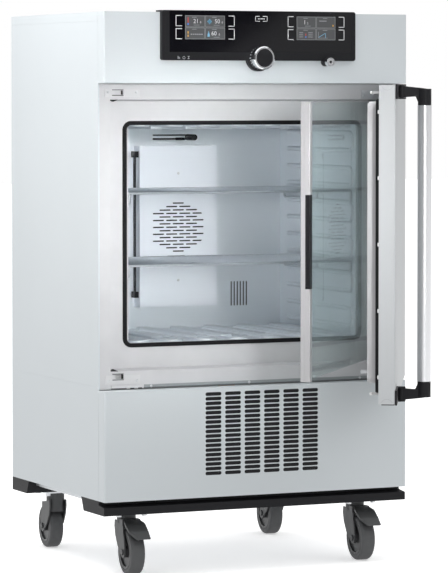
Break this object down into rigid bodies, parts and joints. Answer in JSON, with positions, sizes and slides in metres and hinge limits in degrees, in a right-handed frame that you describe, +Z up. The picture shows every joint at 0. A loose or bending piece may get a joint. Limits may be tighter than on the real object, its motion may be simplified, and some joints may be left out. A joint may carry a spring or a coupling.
{
  "type": "environmental test chamber",
  "caption": "Floor-standing climate test chamber on swivel casters with an insulated outer door, a glass inner door, wire shelves and a control panel over the door.",
  "frame": {"origin": "centre of the bounding box at floor level, with the doors open as modelled", "axes": "+X to the right seen from the front, +Y from the front to the rear, +Z up, out of the flat top"},
  "size_m": [0.7429, 1.2957, 1.237],
  "materials": {
    "casing_paint": "fine textured powder coat",
    "galvanised": "matt galvanised sheet",
    "black_moulding": "fine grained",
    "frame_moulding": "smooth matt",
    "stainless": "fine brushed",
    "zinc": "bright zinc",
    "foam": "rigid foam",
    "seal_rubber": "matt",
    "copper": "soldered tube",
    "machine_black": "satin",
    "panel_glass": "polished",
    "display": "lit screen",
    "chrome": "polished",
    "handle_metal": "satin anodised",
    "glass": "slightly tinted",
    "caster_moulding": "satin",
    "tyre": "smooth"
  },
  "bodies": {
    "cabinet": {"base_frame": "galvanised", "plinth_profile": "black_moulding", "plinth_blocks": "black_moulding", "side_panel_left": "casing_paint", "side_panel_right": "casing_paint", "top_cover": "casing_paint", "rear_panel": "casing_paint", "front_header": "casing_paint", "lower_front_panel": "casing_paint", "dust_filter": "black_moulding", "door_frame": "frame_moulding", "latch_keepers": "zinc", "cross_strip": "zinc", "screws": "zinc", "insulation": "foam", "liner": "stainless", "inner_gasket": "seal_rubber", "duct_covers": "stainless", "sensor_probes": "black_moulding", "fan_motor": "machine_black", "evaporator": "copper", "compressor": "machine_black", "condenser": "galvanised", "refrigerant_pipes": "copper", "electronics_box": "galvanised", "compartment_floor": "galvanised", "rear_housing": "casing_paint", "power_inlet": "black_moulding", "control_housing": "black_moulding", "control_glass": "panel_glass", "displays": "display", "hinge_brackets": "zinc", "caster_plates": "zinc"},
    "circulation_fan": {"fan_impeller": "zinc"},
    "cooling_fan": {"condenser_fan": "machine_black"},
    "knob": {"control_knob": "chrome"},
    "button": {"power_button": "black_moulding"},
    "outer_door": {"door_shell": "casing_paint", "door_plug": "frame_moulding", "door_gasket": "seal_rubber", "door_brackets": "black_moulding"},
    "handle": {"handle_tube": "handle_metal", "handle_arms": "black_moulding"},
    "latch": {"latch_rod": "zinc"},
    "glass_door": {"glass_pane": "glass", "glass_profile": "handle_metal", "glass_grip": "black_moulding", "glass_hinges": "handle_metal"},
    "upper_shelf": {"shelf_upper": "stainless"},
    "lower_shelf": {"shelf_lower": "stainless"},
    "caster_fl": {"caster_fork_fl": "caster_moulding"},
    "wheel_fl": {"caster_wheel_fl": "tyre"},
    "pedal_fl": {"brake_pedal_fl": "caster_moulding"},
    "caster_fr": {"caster_fork_fr": "caster_moulding"},
    "wheel_fr": {"caster_wheel_fr": "tyre"},
    "pedal_fr": {"brake_pedal_fr": "caster_moulding"},
    "caster_rl": {"caster_fork_rl": "caster_moulding"},
    "wheel_rl": {"caster_wheel_rl": "tyre"},
    "caster_rr": {"caster_fork_rr": "caster_moulding"},
    "wheel_rr": {"caster_wheel_rr": "tyre"}
  },
  "joints": [
    {"name": "outer_door_hinge", "type": "hinge", "parent": "cabinet", "child": "outer_door", "pos_m": [0.3499, -0.01011, 0.74], "axis": [0, 0, 1], "range_deg": [-60.75, 44.25]},
    {"name": "glass_door_hinge", "type": "hinge", "parent": "cabinet", "child": "glass_door", "pos_m": [0.315, 0.03389, 0.74], "axis": [0, 0, 1], "range_deg": [-50.5, 36.78]},
    {"name": "handle_pivot", "type": "hinge", "parent": "outer_door", "child": "handle", "pos_m": [0.07083, -0.56695, 0.745], "axis": [0, 0, 1], "range_deg": [0, 28]},
    {"name": "latch_turn", "type": "hinge", "parent": "outer_door", "child": "latch", "pos_m": [0.02671, -0.5913, 0.745], "axis": [0, 0, 1], "range_deg": [0, 19.6]},
    {"name": "knob_turn", "type": "hinge", "parent": "cabinet", "child": "knob", "pos_m": [-0.0066, -0.04711, 1.1336], "axis": [0, -1, 0], "continuous": true},
    {"name": "button_press", "type": "slide", "parent": "cabinet", "child": "button", "axis": [0, 1, 0], "range_m": [0, 0.0025], "stiffness_N_per_m": 300},
    {"name": "circulation_fan_spin", "type": "hinge", "parent": "cabinet", "child": "circulation_fan", "pos_m": [-0.0018, 0.44889, 0.7446], "axis": [0, -1, 0], "continuous": true},
    {"name": "cooling_fan_spin", "type": "hinge", "parent": "cabinet", "child": "cooling_fan", "pos_m": [0.0054, 0.06689, 0.307], "axis": [0, -1, 0], "continuous": true},
    {"name": "upper_shelf_slide", "type": "slide", "parent": "cabinet", "child": "upper_shelf", "axis": [0, -1, 0], "range_m": [0, 0.05]},
    {"name": "lower_shelf_slide", "type": "slide", "parent": "cabinet", "child": "lower_shelf", "axis": [0, -1, 0], "range_m": [0, 0.05]},
    {"name": "swivel_fl", "type": "hinge", "parent": "cabinet", "child": "caster_fl", "pos_m": [-0.2856, 0.05689, 0.12], "axis": [0, 0, 1], "continuous": true},
    {"name": "roll_fl", "type": "hinge", "parent": "caster_fl", "child": "wheel_fl", "pos_m": [-0.28804, 0.02198, 0.05], "axis": [0.9976, -0.0698, 0], "continuous": true},
    {"name": "brake_fl", "type": "hinge", "parent": "caster_fl", "child": "pedal_fl", "pos_m": [-0.28755, 0.02896, 0.1145], "axis": [0.9976, -0.0698, 0], "range_deg": [0, 12]},
    {"name": "swivel_fr", "type": "hinge", "parent": "cabinet", "child": "caster_fr", "pos_m": [0.2784, 0.05689, 0.12], "axis": [0, 0, 1], "continuous": true},
    {"name": "roll_fr", "type": "hinge", "parent": "caster_fr", "child": "wheel_fr", "pos_m": [0.27596, 0.02198, 0.05], "axis": [0.9976, -0.0698, 0], "continuous": true},
    {"name": "brake_fr", "type": "hinge", "parent": "caster_fr", "child": "pedal_fr", "pos_m": [0.27645, 0.02896, 0.1145], "axis": [0.9976, -0.0698, 0], "range_deg": [0, 12]},
    {"name": "swivel_rl", "type": "hinge", "parent": "cabinet", "child": "caster_rl", "pos_m": [-0.2856, 0.48089, 0.12], "axis": [0, 0, 1], "continuous": true},
    {"name": "roll_rl", "type": "hinge", "parent": "caster_rl", "child": "wheel_rl", "pos_m": [-0.28316, 0.51581, 0.05], "axis": [-0.9976, 0.0698, 0], "continuous": true},
    {"name": "swivel_rr", "type": "hinge", "parent": "cabinet", "child": "caster_rr", "pos_m": [0.2784, 0.48089, 0.12], "axis": [0, 0, 1], "continuous": true},
    {"name": "roll_rr", "type": "hinge", "parent": "caster_rr", "child": "wheel_rr", "pos_m": [0.28084, 0.51581, 0.05], "axis": [-0.9976, 0.0698, 0], "continuous": true}
  ],
  "couplings": [
    {"joint": "glass_door_hinge", "follows": "outer_door_hinge", "ratio": 0.83128},
    {"joint": "latch_turn", "follows": "handle_pivot", "ratio": 0.7}
  ]
}
